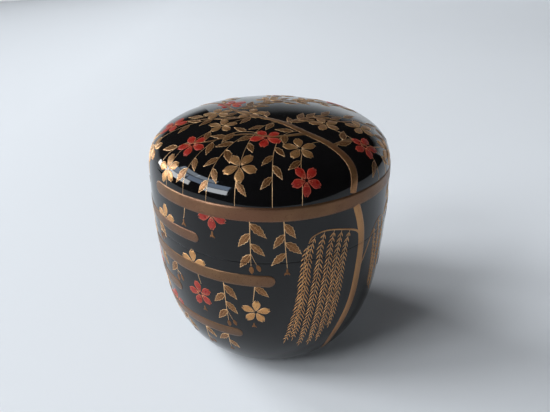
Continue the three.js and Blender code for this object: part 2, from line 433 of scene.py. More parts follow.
v, f = lathe(sec, 192)
lid_lining = link("lid_lining", v, f, "lid", INNER, replaces="lid_inner_lacquer")

# underside: foot ring with softened edges, shallow turned recess with faint turning rings
sf = np.linspace(S_FOOTCOAT, FOOT_S, 5)
r_, z_, _, _ = prof(sf)
ring = [(float(a), max(float(b), 0.0)) for a, b in zip(r_, z_)]
ring[0] = (ring[0][0] - 0.02, 0.40)
lip = fillet([ring[0], ring[1], ring[2], ring[3], (19.72, 0.02), (17.45, 0.0), (17.05, 0.70), (16.2, 0.72)], [0, 0, 0, 0.3, 0.3, 0.22, 0.25, 0], 4)
rec = [(r, 0.72 + 0.012 * math.sin(r * 4.2) * min(1, r / 3)) for r in np.linspace(15.8, 0.0, 70)]
rec[-1] = (0.0, 0.72)
sec = [tuple(map(float, p)) for p in lip] + rec + [(0.0, 1.08), (17.2, 1.08), (17.8, 0.40)]
v, f = lathe(sec, 192)
base_coat = link("base_coat", v, f, "body", INNER, replaces="base_lacquer")

for n in ("body_core", "lid_core"):
    ob = NODES[n]
    ob.data.materials.clear()
    ob.data.materials.append(WOOD)


# ---------------------------------------------------------------- decoration
# Raised films of powder and coloured lacquer. Each stroke is a closed lens-shaped
# solid whose rim is sunk a little into the lacquer and whose face follows the wall.
SINK = 0.03
COLS = {3: ([-1, 0, 1], [0, 1, 0]), 5: ([-1, -0.7, 0, 0.7, 1], [0, 0.9, 1, 0.9, 0]),
        7: ([-1, -0.86, -0.5, 0, 0.5, 0.86, 1], [0, 0.8, 1, 1, 1, 0.8, 0])}


class Relief:
    def __init__(self, name, mat, slot):
        self.name, self.mat, self.slot = name, mat, slot
        self.v, self.f, self.t, self.n = [], [], [], 0

    def grid(self, kind, x, y, h, tone, loop=False):
        """Adds a closed body: face at height h over the (rows, cols) grid, back just under the lacquer."""
        rows, cols = x.shape
        phi, s = chart(kind, x, y)
        top = surf(phi, s, h)
        under = surf(phi, s, np.full(x.shape, -SINK - 0.012))
        base = self.n
        idx = base + np.arange(rows * cols).reshape(rows, cols)
        low = idx.copy()
        inner = np.zeros((rows, cols), bool)
        if loop:
            inner[:, 1:-1] = True
        else:
            inner[1:-1, 1:-1] = True
        k = int(inner.sum())
        low[inner] = base + rows * cols + np.arange(k)
        self.v.append(top.reshape(-1, 3))
        self.v.append(under[inner])
        tone = np.broadcast_to(tone, x.shape)
        self.t.append(np.asarray(tone, float).reshape(-1))
        self.t.append(np.asarray(tone, float)[inner])
        self.n += rows * cols + k
        last = rows if loop else rows - 1
        for i in range(last):
            j = (i + 1) % rows
            for c in range(cols - 1):
                for g, turn in ((idx, False), (low, True)):
                    a, b, d, e = int(g[i, c]), int(g[i, c + 1]), int(g[j, c + 1]), int(g[j, c])
                    # a corner cell shares three of its points between face and back, so it is split through
                    # its outer corner; the other way, face and back would lie on one another there
                    if not loop and i in (0, last - 1) and c in (0, cols - 2):
                        cell = [(a, b, d), (a, d, e)] if (i == 0) == (c == 0) else [(a, b, e), (b, d, e)]
                    else:
                        cell = [(a, b, d, e)]
                    self.f += [q[::-1] if turn else q for q in cell]

    def stroke(self, kind, line, width, height=0.05, cols=5, step=0.5, tone=1.0, smooth=True, loop=False, tone_edge=0.0):
        """A ribbon along a line. width is one half-width, or a list along the line."""
        p = resample(line, step, smooth, loop)
        n = len(p)
        t = np.linspace(0, 1, n)
        w = np.interp(t, np.linspace(0, 1, len(width)), width) if hasattr(width, "__len__") else np.full(n, float(width))
        tn = np.interp(t, np.linspace(0, 1, len(tone)), tone) if hasattr(tone, "__len__") else np.full(n, float(tone))
        if loop:
            tan = np.roll(p, -1, 0) - np.roll(p, 1, 0)
        else:
            tan = np.gradient(p, axis=0)
        tan /= np.linalg.norm(tan, axis=1)[:, None] + 1e-12
        nor = np.stack([-tan[:, 1], tan[:, 0]], 1)
        c, e = (np.array(a, float) for a in COLS[cols])
        x = p[:, :1] + nor[:, :1] * w[:, None] * c
        y = p[:, 1:] + nor[:, 1:] * w[:, None] * c
        et = np.ones(n)
        if not loop:
            et[0] = et[-1] = 0
        h = -SINK + (height + SINK) * np.outer(et, e)
        tt = tn[:, None] + tone_edge * (1 - np.abs(c))[None, :] * -1
        self.grid(kind, x, y, h, tt, loop)

    def petal(self, kind, cx, cy, ang, r0, length, width, height=0.05, notch=0.1, belly=0.62, rows=8, tone=(0.75, 1.0), point=0.0, curl=0.0, base=0.16, teeth=0.0):
        """A petal or leaf: starts r0 from (cx, cy) and runs out along ang. point 1 gives a pointed tip."""
        t = np.linspace(0, 1, rows)
        c, e = (np.array(a, float) for a in COLS[7])
        w = np.where(t < belly, base + (1 - base) * np.sin(np.pi / 2 * t / belly) ** 1.1,
                     np.cos(np.pi / 2 * ((t - belly) / (1 - belly)) * (0.62 + 0.36 * point)) ** (0.9 + 0.3 * point)) * width / 2
        w = np.maximum(w, 0.035 * width)
        w = w * (1 + teeth * np.where(np.arange(rows) % 2 == 0, 1.0, -1.0) * (t > 0.12) * (t < 0.92))
        g = 1 - notch * np.exp(-(c / 0.3) ** 2) - (0.2 * (1 - point)) * np.abs(c) ** 3
        along = r0 + length * (t[:, None] ** 1.0) * (1 - (1 - g)[None, :] * t[:, None] ** 2)
        across = w[:, None] * c[None, :] + curl * length * t[:, None] ** 2
        ca, sa = math.cos(ang), math.sin(ang)
        x = cx + ca * along - sa * across
        y = cy + sa * along + ca * across
        et = np.ones(rows); et[0] = et[-1] = 0
        et[1] = 0.8; et[-2] = 0.9
        h = -SINK + (height + SINK) * np.outer(et, e)
        tn = tone[0] + (tone[1] - tone[0]) * np.clip(np.maximum(np.abs(c)[None, :] ** 2, t[:, None] ** 3), 0, 1)
        self.grid(kind, x, y, h, tn)
        rim = np.concatenate([np.stack([x[:, 0], y[:, 0]], 1), np.stack([x[-1, 1:-1], y[-1, 1:-1]], 1), np.stack([x[::-1, -1], y[::-1, -1]], 1)])
        mid = np.stack([x[:, 3], y[:, 3]], 1)
        return rim, mid


def resample(line, step, smooth=True, loop=False):
    """Even points along a Catmull-Rom curve through line."""
    p = np.asarray(line, float)
    if loop:
        q = np.concatenate([p[-1:], p, p[:2]])
    else:
        q = np.concatenate([2 * p[:1] - p[1:2], p, 2 * p[-1:] - p[-2:-1]])
    if smooth and len(p) > 2:
        out = []
        for i in range(1, len(q) - 2):
            a, b, c, d = q[i - 1], q[i], q[i + 1], q[i + 2]
            for t in np.linspace(0, 1, 12, endpoint=False):
                out.append(0.5 * (2 * b + (c - a) * t + (2 * a - 5 * b + 4 * c - d) * t * t + (3 * b - a - 3 * c + d) * t ** 3))
        if not loop:
            out.append(p[-1])
        p = np.array(out)
    if loop:
        p = np.concatenate([p, p[:1]])
    L = np.concatenate([[0], np.cumsum(np.linalg.norm(np.diff(p, axis=0), axis=1))])
    n = max(4, int(round(L[-1] / step)) + 1)
    u = np.linspace(0, L[-1], n)
    if loop:
        u = u[:-1]
    return np.stack([np.interp(u, L, p[:, 0]), np.interp(u, L, p[:, 1])], 1)


class Layer:
    """The strokes of one part of the caddy (lid or body), one mesh for each material and kind of motif."""

    def __init__(self, prefix):
        self.mist = Relief(prefix + "_mist_bands", PALE, "pale_gold_decoration")
        self.branch = Relief(prefix + "_branches", BRANCH, "gold_decoration")
        self.leaf = Relief(prefix + "_leaves", LEAF, "gold_decoration")
        self.willow = Relief(prefix + "_willow", GOLD, "gold_decoration")
        self.gold = Relief(prefix + "_gold_blossoms", GOLD, "gold_decoration")
        self.red = Relief(prefix + "_red_blossoms", RED, "red_decoration")
        self.line = Relief(prefix + "_drawn_lines", LINE, "gold_decoration")
        self.redline = Relief(prefix + "_red_petal_edges", RED_EDGE, "red_decoration")

    def all(self):
        return [self.mist, self.branch, self.leaf, self.willow, self.gold, self.red, self.line, self.redline]


TOP = Layer("lid_top")       # strokes drawn on the crown
SIDE = Layer("side")         # strokes drawn on the wall, cut at the seam afterwards
RNG = random.Random(7)


def mist(L, x0, x1, s, hw, height=0.06, tone=0.62):
    """A band of mist with round ends, fading a little to its lower edge and towards its ends."""
    n = max(12, int(abs(x1 - x0) / 0.9))
    a = np.linspace(0, np.pi / 2, 9)
    xs = np.concatenate([x0 + hw * (1 - np.cos(a)), np.linspace(x0 + hw, x1 - hw, n)[1:-1], x1 - hw * (1 - np.cos(a[::-1]))])
    w = np.concatenate([hw * np.sin(a), np.full(n - 2, hw), hw * np.sin(a[::-1])])
    w = np.maximum(w, 0.04)
    c = np.array([-1, -0.95, -0.6, -0.2, 0.2, 0.6, 0.95, 1.0])
    e = np.array([0, 0.9, 1, 1, 1, 1, 0.9, 0])
    x = np.repeat(xs[:, None], len(c), 1)
    y = s + w[:, None] * c[None, :] + 0.10 * np.sin(xs[:, None] * 0.11 + s)
    et = np.ones(len(xs)); et[0] = et[-1] = 0
    h = -SINK + (height + SINK) * np.outer(et, e)
    fade = 1 - 0.12 * np.exp(-np.minimum(xs - x0, x1 - xs) / 5.0)
    t = tone * fade[:, None] * (1.04 - 0.10 * c)[None, :]
    L.mist.grid("side", x, y, h, t)


def blossom(L, kind, x, y, r, rot=0.0, colour="gold", petals=range(5), height=0.055, lines=True, tilt=0.0):
    """Five notched petals round a small eye, outlined, with stamens. tilt foreshortens it across its own axis."""
    R, E = (L.red, L.redline) if colour == "red" else (L.gold, L.line)
    for i in petals:
        a = rot + i * TAU / 5
        k = 1 - 0.10 * tilt * (1 + math.cos(a - rot))
        # Painted shade: petals on the crown get a lower tone than those on the wall, so the top comes out darker than
        # the wall.
        if colour == "red":
            tone = (0.0, 0.22) if kind == "top" else (0.25, 0.9)
        else:
            tone = (0.50, 0.78) if kind == "top" else (0.62, 0.98)
        rim, mid = R.petal(kind, x, y, a, 0.12 * r, 0.88 * r * k, 0.52 * r, height, notch=0.16, belly=0.62, tone=tone)
        if lines:
            # Painted shade again: on the crown the red petals' drawn outlines get a low tone, darkening the top.
            E.stroke(kind, rim, 0.075, height + 0.012, cols=3, step=0.34, smooth=False, loop=True,
                     tone=0.1 if colour == "red" and kind == "top" else 0.95)
            E.stroke(kind, [mid[1], mid[3], mid[5]], [0.05, 0.035], height + 0.010, cols=3, step=0.4, smooth=False, tone=0.75)
    if lines:
        for i in petals:
            for d in (-0.2, 0.2):
                a = rot + i * TAU / 5 + d
                p, q = 0.10 * r, 0.36 * r
                L.line.stroke(kind, [(x + p * math.cos(a), y + p * math.sin(a)), (x + q * math.cos(a), y + q * math.sin(a))], 0.035, height + 0.02, cols=3, step=0.4, smooth=False, tone=1.0)
                L.line.petal(kind, x + q * math.cos(a), y + q * math.sin(a), a, -0.09, 0.2, 0.17, height + 0.025, notch=0, rows=5, tone=(1, 1))


def leaf(L, kind, x, y, ang, length, width=None, height=0.05, curl=0.0, tone=0.62, veins=True):
    """A pointed leaf with a drawn rim, midrib and side veins."""
    w = width or length * 0.39
    rim, mid = L.leaf.petal(kind, x, y, ang, 0.0, length, w, height, notch=-0.06, belly=0.42, rows=10, tone=(tone - 0.16, tone + 0.06), point=1.0, curl=curl, base=0.1, teeth=0.15)
    L.line.stroke(kind, rim, 0.085, height + 0.012, cols=3, step=0.26, smooth=False, loop=True, tone=1.0)
    L.line.stroke(kind, mid, [0.12, 0.10, 0.06], height + 0.014, cols=3, step=0.4, smooth=False, tone=0.95)
    if veins:
        n = max(2, int(length / 1.1))
        m = resample(mid, 0.05, False)
        for i in range(n):
            u = 0.18 + 0.62 * (i + 0.5) / n
            p = m[int(u * (len(m) - 1))]
            k = math.sin(math.pi * min(1, u * 0.95)) * w * 0.5
            for sgn in (-1, 1):
                a = ang + sgn * 0.85 + 2 * curl * u
                L.line.stroke(kind, [p, (p[0] + k * math.cos(a), p[1] + k * math.sin(a))], [0.11, 0.07], height + 0.013, cols=3, step=0.35, smooth=False, tone=0.9)


def stem(L, kind, pts, w0=0.16, w1=0.08, height=0.045, tone=0.85, step=0.5, brown=False):
    (L.branch if brown else L.line).stroke(kind, pts, [w0, w1], height, cols=5 if brown else 3, step=step, tone=tone)


def bud(L, kind, x, y, ang, size=1.6, tone=0.8):
    """Closed bud: two sepals and a drop-shaped bloom."""
    L.leaf.petal(kind, x, y, ang, 0.0, size, size * 0.5, 0.05, notch=-0.1, belly=0.55, rows=7, tone=(tone - 0.1, tone + 0.1), point=0.7)
    for d in (-0.45, 0.45):
        L.leaf.petal(kind, x, y, ang + d, -0.05, size * 0.62, size * 0.2, 0.06, notch=-0.1, belly=0.4, rows=6, tone=(0.9, 1.0), point=1.0)


def calyx(L, kind, x, y, ang, size=1.9, tone=0.85):
    """Open calyx: a short tube parting into two or three pointed lobes."""
    L.leaf.petal(kind, x, y, ang, -0.1, size * 0.62, size * 0.26, 0.055, notch=0.0, belly=0.6, rows=6, tone=(tone, tone), point=0.4, base=0.5)
    for d, k in ((-0.62, 1.0), (0.0, 0.72), (0.62, 1.0)):
        L.leaf.petal(kind, x + math.cos(ang) * size * 0.42, y + math.sin(ang) * size * 0.42, ang + d, 0.0, size * 0.62 * k, size * 0.24, 0.06, notch=-0.1, belly=0.4, rows=6, tone=(tone - 0.1, tone + 0.1), point=1.0)


def frond(L, kind, pts, length=2.5, pitch=1.30, fade=0.18, height=0.07, spread=0.63, width=0.28):
    """A hanging willow shoot: a thin stem with slender leaves in a herringbone on both sides."""
    p = resample(pts, 0.25)
    stem(L, kind, pts, 0.07, 0.05, height - 0.015, 0.8)
    L_ = np.concatenate([[0], np.cumsum(np.linalg.norm(np.diff(p, axis=0), axis=1))])
    tan = np.gradient(p, axis=0)
    n = int(L_[-1] / pitch)
    for i in range(n):
        u = (i + 0.6) * pitch
        x, y = np.interp(u, L_, p[:, 0]), np.interp(u, L_, p[:, 1])
        a = math.atan2(np.interp(u, L_, tan[:, 1]), np.interp(u, L_, tan[:, 0]))
        q = u / L_[-1]
        k = min(1.0, 0.55 + 1.6 * q) * (1.0 if q < 0.72 else 1.0 - 0.45 * (q - 0.72) / 0.28)
        tone = 0.86 - fade * max(0, q - 0.45)
        for sgn in (-1, 1):
            aa = a + sgn * (spread + RNG.uniform(-0.05, 0.05))
            L.willow.petal(kind, x, y, aa, 0.05, length * k * RNG.uniform(0.88, 1.12), width, height + 0.004 * (i % 3), notch=-0.05, belly=0.4, rows=5, tone=(tone, tone), point=1.0, curl=-sgn * 0.12, base=0.35)
    L.willow.petal(kind, p[-1][0], p[-1][1], math.atan2(tan[-1][1], tan[-1][0]), -0.3, length * 0.8, width, height, notch=-0.05, belly=0.4, rows=5, tone=(0.7, 0.7), point=1.0, base=0.25)


# The arrangement is worked out by rule from stock motifs of the trade: bars of mist
# staggered like brickwork, a willow on two sides, and cherry twigs that weep outwards
# from a bough across the crown. Blossoms keep a least distance from each other.
D = math.radians


class Plan:
    """What is already drawn, as balls on the surface, so that new motifs keep clear of it."""

    def __init__(self):
        self.balls = {}

    @staticmethod
    def at(kind, x, y):
        phi, s = chart(kind, float(x), float(y))
        return surf(np.array(phi), np.array(s), 0.0)

    def clear(self, kind, x, y, r, *layers):
        p = self.at(kind, x, y)
        for k in layers:
            for q, rr in self.balls.get(k, ()):
                if np.linalg.norm(p - q) < r + rr:
                    return False
        return True

    def take(self, layer, kind, x, y, r):
        self.balls.setdefault(layer, []).append((self.at(kind, x, y), r))

    def take_line(self, layer, kind, pts, r):
        for x, y in resample(pts, max(1.0, r)):
            self.take(layer, kind, x, y, r)


PLAN = Plan()

# ---- bars of mist: five even courses down the wall, each course shifted like brickwork
COURSES = [(39.4, 1.78, 0.72, [(-34, 72), (86, 150)]),
           (48.0, 1.45, 0.52, [(-66, -18), (42, 76), (106, 134)]),
           (57.4, 1.75, 0.64, [(-42, 1), (52, 84), (114, 150)]),
           (66.6, 1.60, 0.58, [(-76, -27), (40, 66), (104, 128)]),
           (75.8, 1.65, 0.56, [(-50, -8), (58, 82), (116, 140)])]
for s_, hw_, tone_, bars_ in COURSES:
    for a_, b_ in bars_:
        mist(SIDE, a_, b_, s_, hw_, height=0.085, tone=tone_)
        PLAN.take_line("mist", "side", [(a_ + 1, s_), (0.5 * (a_ + b_), s_), (b_ - 1, s_)], hw_)


def covered(x, s):
    """True where a bar of mist lies at this place."""
    for s_, hw_, _t, bars_ in COURSES:
        if abs(s - s_) < hw_:
            for a_, b_ in bars_:
                for w in (-207.3, 0, 207.3):
                    if a_ < x + w < b_:
                        return True
    return False


# ---- willows
def willow_tree(x0, side, phase, rng, n=6):
    """Trunk down the wall at x0 with a bough to one side and its hanging shoots, and a smaller bough to the other."""
    def tx(s):
        return x0 + 2.7 * math.sin((s - 43.0) / 9.6 + phase) + 0.45 * math.sin((s - 40) / 4.1)
    line = [(tx(s), s) for s in np.linspace(40.4, 90.6, 15)]
    SIDE.branch.stroke("side", line, [1.12, 1.2, 1.2, 1.26, 1.34, 1.42, 1.46, 1.36, 1.15, 0.7], 0.088, cols=7, step=0.5, tone=[0.95, 0.9, 0.95, 0.88, 0.8, 0.65])
    PLAN.take_line("tree", "side", line, 1.6)
    # main bough and shoots
    far = 13.6
    bough = [(tx(50.5), 50.5), (tx(48) - side * 2.0, 47.6), (x0 - side * 5.6, 45.6), (x0 - side * 9.6, 45.0), (x0 - side * 12.6, 46.0), (x0 - side * far, 47.8)]
    stem(SIDE, "side", bough, 0.36, 0.14, 0.062, 0.85, brown=True)
    b = resample(bough, 0.2)
    for i in range(n):
        q = 0.34 + 0.66 * i / (n - 1)
        bx, by = b[int(q * (len(b) - 1))]
        drop = 37.0 - 9.0 * abs(q - 0.62) / 0.4 + rng.uniform(-1.8, 1.8)
        sway, ph = rng.uniform(0.25, 0.5), rng.uniform(0, 6)
        pts = []
        for d in np.linspace(0, drop, 9):
            pts.append((bx - side * (1.3 * (1 - math.exp(-d / 3.0)) + 2.3 * (d / drop) ** 3 * (0.5 + q)) + sway * math.sin(d / 7.5 + ph), by + d))
        frond(SIDE, "side", pts)
        PLAN.take_line("tree", "side", pts, 1.6)
    # smaller bough
    up = [(tx(61), 61.0), (x0 + side * 4.6, 56.4), (x0 + side * 7.0, 51.4), (x0 + side * 9.8, 48.6), (x0 + side * 12.8, 48.8)]
    stem(SIDE, "side", up, 0.34, 0.12, 0.06, 0.72, brown=True)
    PLAN.take_line("tree", "side", up, 1.2)
    b = resample(up, 0.2)
    for q, drop in ((0.70, 19.0), (0.86, 23.0), (1.0, 17.0)):
        bx, by = b[int(q * (len(b) - 1))]
        ph = rng.uniform(0, 6)
        pts = [(bx + side * (0.9 * (1 - math.exp(-d / 3.0)) + 0.7 * (d / drop) ** 2) + 0.3 * math.sin(d / 6 + ph), by + d) for d in np.linspace(0, drop, 7)]
        frond(SIDE, "side", pts, length=2.1)
        PLAN.take_line("tree", "side", pts, 1.6)
    return tx


TX = willow_tree(22.4, 1, 0.0, random.Random(31))
willow_tree(97.0, 1, 1.1, random.Random(32), n=5)

# ---- crown: one bough from the trunk across to the far shoulder, with side boughs
ENTRY = TX(37.4) / SIDE_R
MAIN = [(37.6 * math.sin(ENTRY), -37.6 * math.cos(ENTRY)), (19.6, -24.6), (14.4, -19.2), (8.6, -14.8), (3.0, -9.2), (-3.4, -4.6), (-9.6, 1.4), (-13.2, 9.2), (-18.8, 15.4), (-24.6, 19.2)]
BOUGHS = [
    (MAIN, [1.14, 1.12, 1.05, 0.95, 0.8, 0.62, 0.5, 0.4, 0.28, 0.14], [0.62, 0.72, 0.66, 0.58]),
    ([(9.2, -15.2), (1.4, -17.2), (-6.4, -15.6), (-14.2, -17.2), (-21.4, -15.8)], [0.66, 0.5, 0.38, 0.24, 0.12], [0.68, 0.6]),
    ([(3.6, -9.8), (10.2, -5.4), (17.0, -6.2), (23.4, -3.0), (28.4, -4.0)], [0.56, 0.42, 0.3, 0.2, 0.1], [0.64, 0.56]),
    ([(14.6, -19.4), (19.4, -15.6), (24.6, -15.4), (29.4, -11.8)], [0.5, 0.34, 0.22, 0.1], [0.66, 0.58]),
    ([(-3.0, -4.8), (-10.6, -5.8), (-18.0, -3.6), (-26.0, -5.4)], [0.48, 0.34, 0.22, 0.1], [0.62, 0.55]),
    ([(-9.2, 1.0), (-2.0, 7.4), (6.2, 10.4), (14.4, 10.6), (23.0, 14.8)], [0.46, 0.4, 0.3, 0.2, 0.1], [0.6, 0.55]),
    ([(-1.6, 7.6), (-0.8, 15.6), (3.2, 22.6), (3.8, 29.6)], [0.34, 0.26, 0.18, 0.1], [0.6, 0.55]),
    ([(-13.0, 9.0), (-10.8, 17.4), (-12.4, 24.6), (-10.6, 30.6)], [0.32, 0.24, 0.16, 0.1], [0.6, 0.55])]
for pts, w_, t_ in BOUGHS:
    TOP.branch.stroke("top", pts, w_, 0.066 if pts is MAIN else 0.056, cols=7 if pts is MAIN else 5, step=0.5, tone=t_)
PLAN.take_line("trunk", "top", MAIN[:5], 1.1)


def weep(start, heading, s_end, rng):
    """A twig that leaves its bough at an angle and bends round to fall straight down over the shoulder."""
    x, y = start
    pts, a = [(x, y)], heading
    for _ in range(60):
        out = math.atan2(y, x)
        turn = (out - a + math.pi) % TAU - math.pi
        a += max(-0.16, min(0.16, turn * 0.16)) + rng.uniform(-0.02, 0.02)
        x, y = x + math.cos(a), y + math.sin(a)
        pts.append((x, y))
        if math.hypot(x, y) >= s_end:
            break
    return pts


def open_field(x, y, s0=17.0):
    """The crown's outer part at the back left, left plain so that the bough's far end stands free."""
    return D(-172) < math.atan2(x, -y) < D(-98) and math.hypot(x, y) > s0


rng = random.Random(2024)
TWIGS, ends = [], []
for bi, (pts, _w, _t) in enumerate(BOUGHS):
    p = resample(pts, 0.5)
    tan = np.gradient(p, axis=0)
    side = 1
    for i in range(8 if bi else 24, len(p) - 3, 7):
        side = -side
        h = math.atan2(tan[i][1], tan[i][0]) + side * D(rng.uniform(34, 56))
        probe = weep(p[i], h, 37.0, random.Random(i))
        if open_field(*probe[-1]):
            continue
        phi = math.atan2(probe[-1][0], -probe[-1][1])
        if any(abs((phi - e + math.pi) % TAU - math.pi) < 0.135 for e in ends) or abs(phi - ENTRY) < 0.12:
            continue
        ends.append(phi)
        tail = 37.9 if covered(phi * SIDE_R, 39.4) else rng.uniform(39.0, 42.0)
        if rng.random() < 0.22:
            tail = rng.uniform(30.5, 35.0)
        TWIGS.append(weep(p[i], h, tail, random.Random(i)))
for t in TWIGS:
    stem(TOP, "top", t, 0.14, 0.09, 0.045, 0.92)

# blossoms on the crown, at least a blossom's width apart
spots = []
for t in TWIGS + [b[0] for b in BOUGHS]:
    p = resample(t, 1.0)
    tan = np.gradient(p, axis=0)
    for i in range(4, len(p) - 1, 3):
        o = rng.uniform(-1.8, 1.8)
        n_ = np.array([-tan[i][1], tan[i][0]]) / (np.linalg.norm(tan[i]) + 1e-9)
        spots.append((p[i][0] + n_[0] * o, p[i][1] + n_[1] * o, math.atan2(tan[i][1], tan[i][0])))
rng.shuffle(spots)
k = 0
for x, y, a in spots:
    s_ = math.hypot(x, y)
    if s_ > 34.6 or s_ < 4.0 or open_field(x, y) or not PLAN.clear("top", x, y, 3.9, "bloom", "trunk"):
        continue
    PLAN.take("bloom", "top", x, y, 4.1)
    red = PLAN.clear("top", x, y, 6.6, "red")
    if red:
        PLAN.take("red", "top", x, y, 6.6)
    blossom(TOP, "top", x, y, rng.uniform(3.8, 4.35), a + rng.uniform(-0.5, 0.5), "red" if red else "gold")
    k += 1
    if k == 40:
        break

# leaves along every twig and side bough, left and right in turn
for t in TWIGS + [b[0] for b in BOUGHS[1:]]:
    p = resample(t, 0.5)
    tan = np.gradient(p, axis=0)
    side = rng.choice((-1, 1))
    for i in range(4, len(p) - 3, 6):
        side = -side
        a = math.atan2(tan[i][1], tan[i][0]) + side * D(rng.uniform(34, 50))
        ln = rng.uniform(3.6, 4.7)
        mx, my = p[i][0] + math.cos(a) * ln * 0.55, p[i][1] + math.sin(a) * ln * 0.55
        if open_field(mx, my, 26.0) or not PLAN.clear("top", mx, my, 1.1, "leaf", "trunk") or not PLAN.clear("top", mx, my, -0.1, "bloom"):
            continue
        if math.hypot(mx, my) > 35.0 and (math.hypot(mx, my) > 40.5 or not PLAN.clear("top", mx, my, 2.3, "mist", "tree")):
            continue
        PLAN.take("leaf", "top", mx, my, 1.35)
        leaf(TOP, "top", p[i][0], p[i][1], a, ln, curl=-side * 0.08)
    tip = p[-1] * (1 + 1.0 / math.hypot(*p[-1]))
    if PLAN.clear("top", tip[0], tip[1], 0.8, "bloom", "leaf", "mist", "tree"):
        PLAN.take("leaf", "top", tip[0], tip[1], 1.0)
        bud(TOP, "top", p[-1][0], p[-1][1], math.atan2(tan[-1][1], tan[-1][0]), 2.2)


def sprig(x, y, drop, rng, end):
    """A shoot of cherry hanging below a bar, with leaves left and right in turn."""
    lean = rng.uniform(-0.9, 0.9)
    pts = [(x, y), (x + lean * 0.4, y + drop * 0.5), (x + lean, y + drop)]
    stem(SIDE, "side", pts, 0.16, 0.09, 0.045, 0.9)
    side, q = rng.choice((-1, 1)), 0.08
    while q * drop < drop - 3.2:
        px, py = x + lean * q, y + drop * q
        a, ln = D(90 - side * rng.uniform(40, 56)), rng.uniform(4.0, 5.0)
        mx, my = px + math.cos(a) * ln * 0.55, py + math.sin(a) * ln * 0.55
        if PLAN.clear("side", mx, my, 1.0, "bloom", "leaf", "tree"):
            PLAN.take("leaf", "side", mx, my, 1.2)
            leaf(SIDE, "side", px, py, a, ln, curl=side * 0.10)
        side = -side
        q += rng.uniform(2.1, 2.9) / drop
    ex, ey = x + lean, y + drop
    if end == "calyx":
        calyx(SIDE, "side", ex, ey, D(90), 2.1)
    elif end == "bud":
        bud(SIDE, "side", ex, ey, D(90 + rng.uniform(-14, 14)), 2.3)
        stem(SIDE, "side", [(x + lean * 0.7, y + drop * 0.7), (ex + 1.1, ey - 0.9), (ex + 1.5, ey - 0.3)], 0.09, 0.06, 0.045, 0.9)
        bud(SIDE, "side", ex + 1.5, ey - 0.5, D(72), 2.1)
    else:
        calyx(SIDE, "side", ex, ey + 7.0, D(90), 1.9)


rng = random.Random(77)
# half blossoms rising out of a bar or showing beneath it
k = 0
for ci, (s_, hw_, _t, bars_) in enumerate(COURSES):
    for a_, b_ in bars_:
        n_ = 1 + int((b_ - a_) > 44) + int((b_ - a_) > 90)
        for j in range(n_):
            x = a_ + (b_ - a_) * (j + 0.5) / n_ + rng.uniform(-4, 4)
            up = (j + ci) % 2 == 0 and ci > 0
            y = s_ - hw_ + 0.3 if up else s_ + hw_ - 0.3
            py = y - 2.6 if up else y + 2.6
            if not PLAN.clear("side", x, py, 3.4, "tree", "bloom"):
                continue
            if covered(x, py + (-1.5 if up else 1.5)):
                continue
            PLAN.take("bloom", "side", x, py, 3.0)
            a = D(-90 if up else 90)
            blossom(SIDE, "side", x, y, rng.uniform(3.8, 4.2), a, "red" if k % 3 != 1 else "gold", (4, 0, 1), height=0.038)
            if not up:
                calyx(SIDE, "side", x, y + 4.2, D(90), 1.9)
            k += 1

# shoots below every bar, and whole blossoms on some of them
k = 0
for ci, (s_, hw_, _t, bars_) in enumerate(COURSES):
    for a_, b_ in bars_:
        x = a_ + 5.0 + rng.uniform(0, 2)
        while x < b_ - 3.0:
            y0 = s_ + hw_ - 0.4
            room = 0.0
            while room < 17 and y0 + room < 85.5 and not (room > 1.5 and covered(x, y0 + room + 0.6)):
                room += 0.5
            drop = min(room - 0.3, rng.uniform(9.0, 15.0))
            step = rng.uniform(7.0, 9.0)
            ok = PLAN.clear("side", x, y0 + 3.0, 1.4, "tree", "bloom") and PLAN.clear("side", x, y0 + min(drop, 7.0), 2.2, "tree", "bloom")
            if drop > 4.6 and ok:
                whole = drop > 9.5 and k % 2 == 0 and PLAN.clear("side", x, y0 + drop - 3.6, 4.0, "tree", "bloom", "leaf")
                if whole:
                    by = y0 + drop - 3.4
                    PLAN.take("bloom", "side", x, by, 4.1)
                    sprig(x, y0, drop - 6.6, rng, "none")
                    blossom(SIDE, "side", x, by, rng.uniform(3.9, 4.4), D(-90) + rng.uniform(-0.5, 0.5), "gold" if k % 4 else "red")
                else:
                    sprig(x, y0, drop - 1.8, rng, ("calyx", "bud")[k % 2])
                k += 1
            x += step


def close_or_drop(bm):
    """Fills any opening the cut left, then removes a stroke's scrap if it still isn't one closed body."""
    left = [e for e in bm.edges if e.is_boundary]
    if left:
        bmesh.ops.triangle_fill(bm, edges=left, use_beauty=False, use_dissolve=False)
    bad = {v for e in bm.edges if not e.is_manifold for v in e.verts}
    seen, drop = set(), []
    for v in bad:
        if v in seen or not v.is_valid:
            continue
        island, stack = {v}, [v]
        while stack:
            for e in stack.pop().link_edges:
                for q in e.verts:
                    if q not in island:
                        island.add(q)
                        stack.append(q)
        seen |= island
        drop += list(island)
    if drop:
        bmesh.ops.delete(bm, geom=drop, context="VERTS")


def face_out(bm):
    """Turns each closed stroke by the sign of its own volume, so that its faces point out, and drops scraps that have none."""
    bmesh.ops.recalc_face_normals(bm, faces=bm.faces[:])
    seen, flip, flat = set(), [], set()
    for start in bm.faces:
        if start in seen:
            continue
        seen.add(start)
        island, stack = [start], [start]
        while stack:
            for e in stack.pop().edges:
                for g in e.link_faces:
                    if g not in seen:
                        seen.add(g)
                        island.append(g)
                        stack.append(g)
        c, vol = start.verts[0].co.copy(), 0.0
        for g in island:
            q = [w.co - c for w in g.verts]
            for i in range(1, len(q) - 1):
                vol += q[0].dot(q[i].cross(q[i + 1]))
        if abs(vol) < 2e-15 or len(island) < 4:
            flat |= {w for g in island for w in g.verts}
        elif vol < 0:
            flip += island
    if flip:
        bmesh.ops.reverse_faces(bm, faces=flip)
    if flat:
        bmesh.ops.delete(bm, geom=list(flat), context="VERTS")


